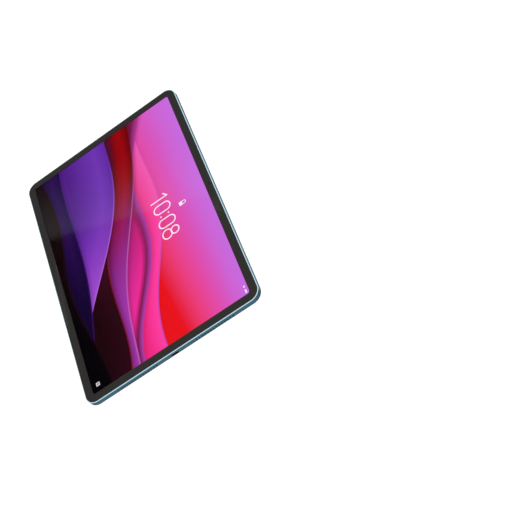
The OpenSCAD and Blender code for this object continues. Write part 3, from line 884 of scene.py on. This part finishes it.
def lensGlass(name, spot, radius):
    finish, shader, place = newFinish(name, IOR=1.6, Roughness=0.03)
    away = awayFrom(place, spot) / radius
    # painted highlight rings over the lens's dark tint
    rings = away.node("ShaderNodeValToRGB", {"stops": lensRingsAndGlint}, {0: away})
    feed(shader, Base_Color=rings, Roughness=away * 0.12 + 0.03)
    shader.inputs["Coat Weight"].default_value = 1.0
    shader.inputs["Coat Roughness"].default_value = 0.02
    return finish


def windowGlass(name, spot, clear):
    finish, shader, place = newFinish(name, IOR=1.5, Metallic=0.3)
    away = awayFrom(place, spot)
    tinted = soft(away, clear - 0.12, clear + 0.12)
    rim = soft(away, 5.75, 5.95)
    colour = mixed(rim, mixed(noise(place, 700.0, 2.0), "#3E6474", "#4E7686"), "#1E2E36")
    feed(shader, Base_Color=colour, Alpha=tinted * 0.8 + 0.18, Roughness=noise(place, 300.0) * 0.05 + 0.05)
    shader.inputs["Coat Weight"].default_value = 1.0
    shader.inputs["Coat Roughness"].default_value = 0.02
    return finish


def makeStrip():
    size = stripLook
    strip = outline("strip", stripWide, stripTall, stripCorners, (0, stripMid), size["bevel"])
    step(0, stripHigh.z - size["bevel"])
    pick(lambda middle, normal: normal.z < -0.9)
    step(size["bevel"], size["bevel"])
    built(strip, [])
    for spot in ringSpots.values():
        carved(strip, built(disc("cut", size["sleeve"] + 0.05, (spot.x, spot.y), z=-1, sides=96), [(0, 3)]))
    standUp(strip, "strip_glass", "tablet", [glossyStrip()], ["camera_strip"])

    lift, sleeve, ring, window, lip = size["proud"], size["sleeve"], size["ring"], size["window"], size["lip"]
    section = [(sleeve, 0), (ring, 0), (ring, 0.15 - lift), (ring - 0.03, 0.07 - lift), (ring - 0.12, -lift),
               (window + 0.25, -lift), (window + 0.12, 0.06 - lift), (window + 0.05, 0.2 - lift),
               (window + 0.05, 0.27), (lip, 0.27), (lip, 0.58), (sleeve, 0.58), (sleeve, 0)]
    for name, spot in ringSpots.items():
        made = turned(name, section, (spot.x, spot.y), 96, True)
        standUp(made, name + "_trim", "tablet", [ringMetal], [name + "_ring"])
        low, high = onBench(name + "_window")
        glass = turned("window", [(window - 0.06, low.z), (window, low.z + 0.06), (window, high.z)],
                       (spot.x, spot.y), 96)
        if name == "flash":
            carved(glass, built(outline("cut", 4.7, 3.7, 1.1, (spot.x, spot.y), -2), [(0, 4)]))
            standUp(glass, "flash_glass", "tablet", [windowGlass("flashGlass", spot, 0)],
                    ["flash_window"])
        else:
            standUp(glass, name + "_glass", "tablet",
                    [windowGlass(name + "Glass", spot, size["lensClear"][name])], [name + "_window"])


makeStrip()


def makeFlash():
    spot = ringSpots["flash"]
    low, high = onBench("flash_diffuser")
    lens = outline("lens", 4.6, 3.6, 1.0, (spot.x, spot.y), low.z + 0.1)
    step(0, 0.27 - low.z - 0.1)
    pick(lambda middle, normal: normal.z < -0.9)
    for inward, rise in ((0.08, 0.06), (0.12, 0.03), (0.3, 0.01)):
        step(inward, rise)
    built(lens, [])
    base = built(outline("base", high.x - low.x, high.y - low.y, 1.0, (spot.x, spot.y), 0.25), [(0, high.z - 0.25)])
    carved(lens, base, "UNION")
    finish, shader, place = newFinish("flashLens", IOR=1.45)
    away = awayFrom(place, spot)
    grooves = (away * 22).maths("SINE")
    feed(shader, Base_Color=mixed(soft(away, 1.3, 0.3), "#E9EDEE", "#F6F2D8"), Roughness=grooves * 0.05 + 0.25,
         Normal=bumped(grooves, 0.35, 0.00003))
    shader.inputs["Subsurface Weight"].default_value = 0.2
    shader.inputs["Subsurface Radius"].default_value = (0.001, 0.001, 0.001)
    standUp(lens, "flash_lens", "tablet", [finish], ["flash_diffuser"])


makeFlash()


def lensFront(radius, depth, middleDepth):  # rings of a domed lens, from its edge to its middle
    turns = [i * pi / 14 for i in range(7)]
    return [(radius * cos(turn), middleDepth + (depth - middleDepth) * (1 - sin(turn))) for turn in turns]


def makeLenses():
    spot = ringSpots["main_camera"]
    low, high = onBench("main_lens_barrel")
    rings = [(3.3, high.z), (3.3, 0.8), (3.22, 0.72), (2.4, 0.72), (2.4, 0.64), (2.36, low.z), (1.95, low.z),
             (1.9, 0.64)]
    barrel = turned("barrel", rings + lensFront(1.9, 0.9, 0.72), (spot.x, spot.y), 64)
    giveSlots(barrel, (lensBlack, lensGlass("mainLens", spot, 1.9)))
    painted(barrel, lambda c, n: (c.xy - spot.xy).length < 1.88 and 0.65 < c.z < 1.2, 1)
    standUp(barrel, "main_lens", "focus_barrel", [], ["main_lens_barrel"])

    spot = ringSpots["second_camera"]
    low, high = onBench("second_camera_module")
    block = outline("block", high.x - low.x, high.y - low.y, 0.5, (spot.x, spot.y), 1.3)
    built(block, [(0, high.z - 1.3)])
    rings = [(2.65, 1.6), (2.65, low.z + 0.08), (2.58, low.z), (1.55, low.z), (1.5, low.z + 0.05)]
    carved(block, turned("barrel", rings + lensFront(1.5, 0.75, 0.6), (spot.x, spot.y), 64), "UNION")
    giveSlots(block, (lensBlack, lensGlass("secondLens", spot, 1.5)))
    painted(block, lambda c, n: (c.xy - spot.xy).length < 1.49 and 0.55 < c.z < 1.2, 1)
    standUp(block, "second_lens", "tablet", [], ["second_camera_module"])

    spot = frontEye
    low, high = onBench("front_camera_module")
    block = outline("block", 6, high.y - low.y, 0.4, (0, (low.y + high.y) / 2), low.z)
    built(block, [(0, 1.8)])
    rings = [(1.4, low.z + 1.2), (1.4, high.z - 0.05), (1.35, high.z), (0.85, high.z), (0.8, high.z - 0.05)]
    rings += [(r, 2 * high.z - d) for r, d in lensFront(0.8, high.z + 0.35, high.z + 0.2)]
    carved(block, turned("barrel", rings, (spot.x, spot.y), 48), "UNION")
    giveSlots(block, (lensBlack, lensGlass("frontLens", spot, 0.8)))
    painted(block, lambda c, n: (c.xy - spot.xy).length < 0.79 and c.z > high.z - 0.6 and n.z > 0.1, 1)
    standUp(block, "front_lens", "tablet", [], ["front_camera_module"])


makeLenses()
print("cameras made")


# keys

keySize = {"width": 2.2, "flange": 0.4, "flangeWider": 0.6, "flangeLonger": 1.6, "proud": 0.3, "inside": 2.7}


def makeKey(node, name, side, body):
    size = keySize
    low, high = onBench(node)
    along = (low.y + high.y) / 2 if side == "left" else (low.x + high.x) / 2
    length = (high.y - low.y if side == "left" else high.x - low.x) - size["flangeLonger"]
    key = outline("key", size["width"], length, size["width"], z=-size["inside"], rounds=12)
    built(key, [(0, size["inside"] + size["proud"] - 0.12), (0.02, 0.06), (0.04, 0.04), (0.08, 0.02)])
    flange = outline("flange", size["width"] + size["flangeWider"], length + size["flangeLonger"], 0.3,
                     z=-size["inside"] - size["flange"])
    built(flange, [(0, size["flange"] + 0.02)])
    carved(key, flange, "UNION")
    moved(key, wall(side, along))
    standUp(key, name, body, [keyMetal], [node])


makeKey("power_button", "power_key_cap", "left", "power_key")
makeKey("volume_up_button", "volume_up_key_cap", "top", "volume_up_key")
makeKey("volume_down_button", "volume_down_key_cap", "top", "volume_down_key")
print("keys made")


# charging socket and dock contacts

socketSize = {"wall": 0.28, "depth": 7.0, "tongue": (0.7, 6.7), "tongueIn": 1.4}


def makeSockets():
    size = socketSize
    low, high = onBench("usb_socket_shell")
    tall, thick, deep = high.y - low.y, high.z - low.z, high.x - low.x
    out = high.x - outWays["right"][0].x
    shell = outline("shell", thick, tall, thick, z=out - deep, rounds=14)
    built(shell, [(0, deep - 0.08), (0.07, 0.08), (size["wall"] - 0.07, 0), (0, 0.3 - deep)])
    moved(shell, wall("right", 0))
    standUp(shell, "socket_shell", "tablet", [bareMetal("socketSteel", ("#8E9498", "#B4BABD"), (0.25, 0.4))],
            ["usb_socket_shell"])
    width, length = size["tongue"]
    tongue = outline("tongue", width, length, 0.25, z=-size["depth"], rounds=6)
    built(tongue, [(0, size["depth"] - size["tongueIn"] - 0.15), (0.08, 0.1), (0.1, 0.05)])
    moved(tongue, wall("right", 0))
    finish, shader, place = newFinish("tonguePlastic", IOR=1.5)
    x, y, z = parts(place)
    low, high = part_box("usb_tongue")
    stripes = soft(((z - low.z) * (12 * 2 * pi / (high.z - low.z))).maths("SINE"), -0.1, 0.2)
    faces = soft(abs(y - (low.y + high.y) / 2), 0.00033, 0.00034) * soft(x, high.x - 0.0006, high.x - 0.0007)
    gilt = stripes * faces
    feed(shader, Base_Color=mixed(gilt, "#101012", "#C9A24C"), Metallic=gilt, Roughness=0.5 - gilt * 0.25)
    standUp(tongue, "socket_tongue", "tablet", [finish], ["usb_tongue"])

    low, high = onBench("dock_carrier")
    deep = high.y - low.y
    carrier = outline("carrier", high.z - low.z, high.x - low.x, 2.0, z=-deep, rounds=14)
    built(carrier, [(0, deep - 0.08), (0.08, 0.08)])
    for along in (-4, 0, 4):
        carved(carrier, moved(built(disc("cut", 0.9, z=-9, sides=32), [(0, 10)]), Matrix.Translation((0, along, 0))))
    moved(carrier, wall("bottom", 0))
    standUp(carrier, "dock_block", "tablet", [blackPlastic], ["dock_carrier"])
    pins = []
    for along in (-4, 0, 4):
        pin = turned("pin", [(0.85, -3.6), (0.85, -0.17), (0.81, -0.1), (0.72, -0.05)], sides=32)
        pins.append(moved(pin, wall("bottom", along)))
    standUp(joined("pins", pins), "dock_pins", "tablet",
            [bareMetal("giltPins", ("#B98F3E", "#E2C078"), (0.2, 0.32))], ["dock_contacts"])


makeSockets()
print("sockets made")


# what lies inside keeps its own shape and gets its finish

def meshCloth():
    finish, shader, place = newFinish("dustMesh", Metallic=0.6)
    _, y, z = parts(place)
    weave = ((y + z) * 30000).maths("SINE") * ((y - z) * 30000).maths("SINE")
    feed(shader, Base_Color=mixed(soft(weave, -0.2, 0.3), "#050506", "#26282B"), Roughness=weave * 0.1 + 0.5,
         Normal=bumped(weave, 0.4, 0.00002))
    return finish


def circuitBoard(name):
    finish, shader, place = newFinish(name)
    cells = place.node("ShaderNodeTexVoronoi", {"distance": "MANHATTAN"}, {"Vector": place, "Scale": 420.0})
    tracks = soft(cells, 0.32, 0.36)
    grain = noise(place, 3000.0)
    feed(shader, Base_Color=mixed(tracks, "#0B2F26", "#1B5A45"), Roughness=grain * 0.15 + 0.35,
         Normal=bumped(tracks + grain * 0.2, 0.3, 0.00003))
    return finish


def pouchFoil():
    finish, shader, place = newFinish("pouchFoil", Metallic=0.5)
    wrinkle = noise(stretched(place, (1.0, 1.0, 2.5)), 90.0, 4.0, 0.6)
    feed(shader, Base_Color=mixed(wrinkle, "#1B1C1E", "#34363A"), Roughness=wrinkle * 0.2 + 0.3,
         Normal=bumped(wrinkle, 0.35, 0.00015))
    return finish


boardFinish = circuitBoard("boardGreen")
chipBlack = plainPart("chipBlack", ("#111214", "#1C1D20"), 900.0, (0.5, 0.7))
sheetSteel = bareMetal("sheetSteel", ("#8C9296", "#B6BCC0"), (0.28, 0.42), (1, 1, 12))
plateAlloy = bareMetal("plateAlloy", ("#83878A", "#A6AAAD"), (0.35, 0.5), (6, 1, 1))
flexFilm = plainPart("flexFilm", ("#8E4A14", "#B8691F"), 500.0, (0.35, 0.5), 0.0, 0.00001, (1, 1, 8))
giltMetal = bareMetal("giltMetal", ("#B8913F", "#DDB968"), (0.24, 0.36))
foil = pouchFoil()
mesh = meshCloth()
insideFinishes = {
    "display_tape": blackPlastic, "strip_tape": blackPlastic,
    "diffuser_films": plainPart("whiteFilm", ("#E8EAEA", "#F7F8F8"), 260.0, (0.3, 0.45)),
    "light_guide": plainPart("acrylicSheet", ("#D9E6EA", "#EDF5F7"), 120.0, (0.06, 0.12)),
    "backlight_tray": sheetSteel, "shield_can": sheetSteel,
    "display_flex": flexFilm, "board_link_flex": flexFilm,
    "mid_plate": plateAlloy,
    "flash_led": plainPart("ledChip", ("#D9B63A", "#F2DC7A"), 1500.0, (0.4, 0.55)),
    "main_camera_module": lensBlack,
    "light_sensor": plainPart("sensorGlass", ("#15151E", "#23232F"), 600.0, (0.1, 0.2)),
    "power_switch": giltMetal, "volume_switches": giltMetal,
    "speaker_upper_left": blackPlastic, "speaker_lower_left": blackPlastic,
    "speaker_upper_right": blackPlastic, "speaker_lower_right": blackPlastic,
    "mesh_upper_left": mesh, "mesh_lower_left": mesh, "mesh_upper_right": mesh, "mesh_lower_right": mesh,
    "usb_board": boardFinish, "main_board": boardFinish, "battery_board": boardFinish,
    "processor": chipBlack, "memory_chips": chipBlack,
    "heat_spreader": plainPart("graphiteSheet", ("#1A1A1C", "#3A3A3D"), 300.0, (0.4, 0.6), 0.4),
    "battery_left": foil, "battery_right": foil,
    "battery_tape": plainPart("clearTape", ("#CFCFDA", "#E6E6EE"), 200.0, (0.2, 0.35)),
    "dock_magnets": bareMetal("magnetNickel", ("#77797C", "#A9ABAE"), (0.22, 0.35)),
    "antenna_left": giltMetal, "antenna_right": giltMetal,
    "microphones": bareMetal("canSteel", ("#9BA0A4", "#C3C8CB"), (0.22, 0.34)),
    "screws": bareMetal("screwSteel", ("#70757A", "#A2A8AC"), (0.25, 0.4)),
}
for node, finish in insideFinishes.items():
    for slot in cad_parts[node].material_slots:
        slot.material = finish
print("inside parts finished")
